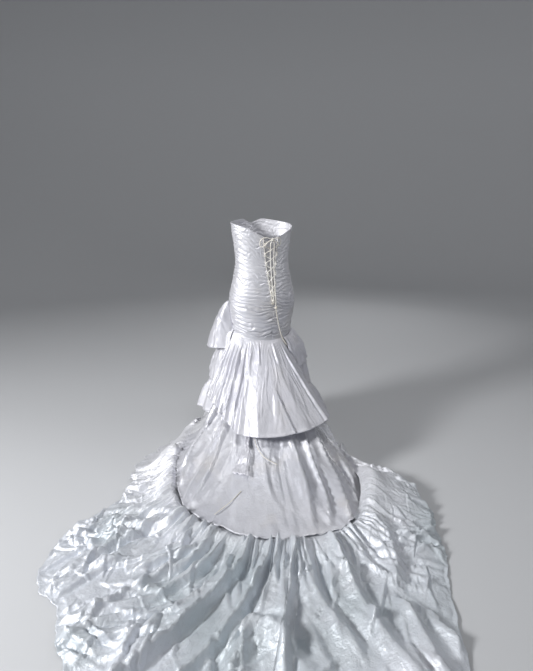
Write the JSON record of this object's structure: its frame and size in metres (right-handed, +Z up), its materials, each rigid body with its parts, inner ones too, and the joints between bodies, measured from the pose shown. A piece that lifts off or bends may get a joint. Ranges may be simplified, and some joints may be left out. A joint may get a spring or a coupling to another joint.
{
  "type": "strapless mermaid gown with lace-up back, flounces and train",
  "caption": "White satin fit-and-flare gown, worn form: ruched drop-waist bodice laced at the back, tiered flounces and a long gathered train.",
  "frame": {"origin": "middle of the wearer's waist, 1.06 m above the floor, where the wearer holds the gown", "axes": "+Z up, the wearer faces -Y, the train runs towards +Y and 25 degrees round towards +X, the wearer's left"},
  "size_m": [1.6511, 2.2195, 1.2494],
  "materials": {
    "satin": "soft white satin",
    "satin_shade": "soft white satin, shaded tiers",
    "lace": "cream satin rouleau"
  },
  "bodies": {
    "root": {"bodice_front": "satin", "bodice_back_left": "satin", "bodice_back_right": "satin", "modesty_panel": "satin_shade", "skirt_back": "satin", "skirt_front": "satin_shade", "back_flounce": "satin", "front_flounce_upper": "satin", "front_flounce_middle": "satin", "front_flounce_lower": "satin", "front_hem_flounce": "satin_shade", "train_left": "satin", "train_right": "satin", "loop_band_left": "lace", "loop_band_right": "lace", "train_tab": "satin", "lace_strand_left": "lace", "lace_strand_right": "lace", "bow_knot": "lace", "bow_loop_left": "lace", "bow_loop_right": "lace", "lace_tail_left": "lace", "lace_tail_right": "lace", "lace_low_knot": "lace", "train_tie_upper": "lace", "train_tie_lower": "lace"}
  },
  "joints": []
}
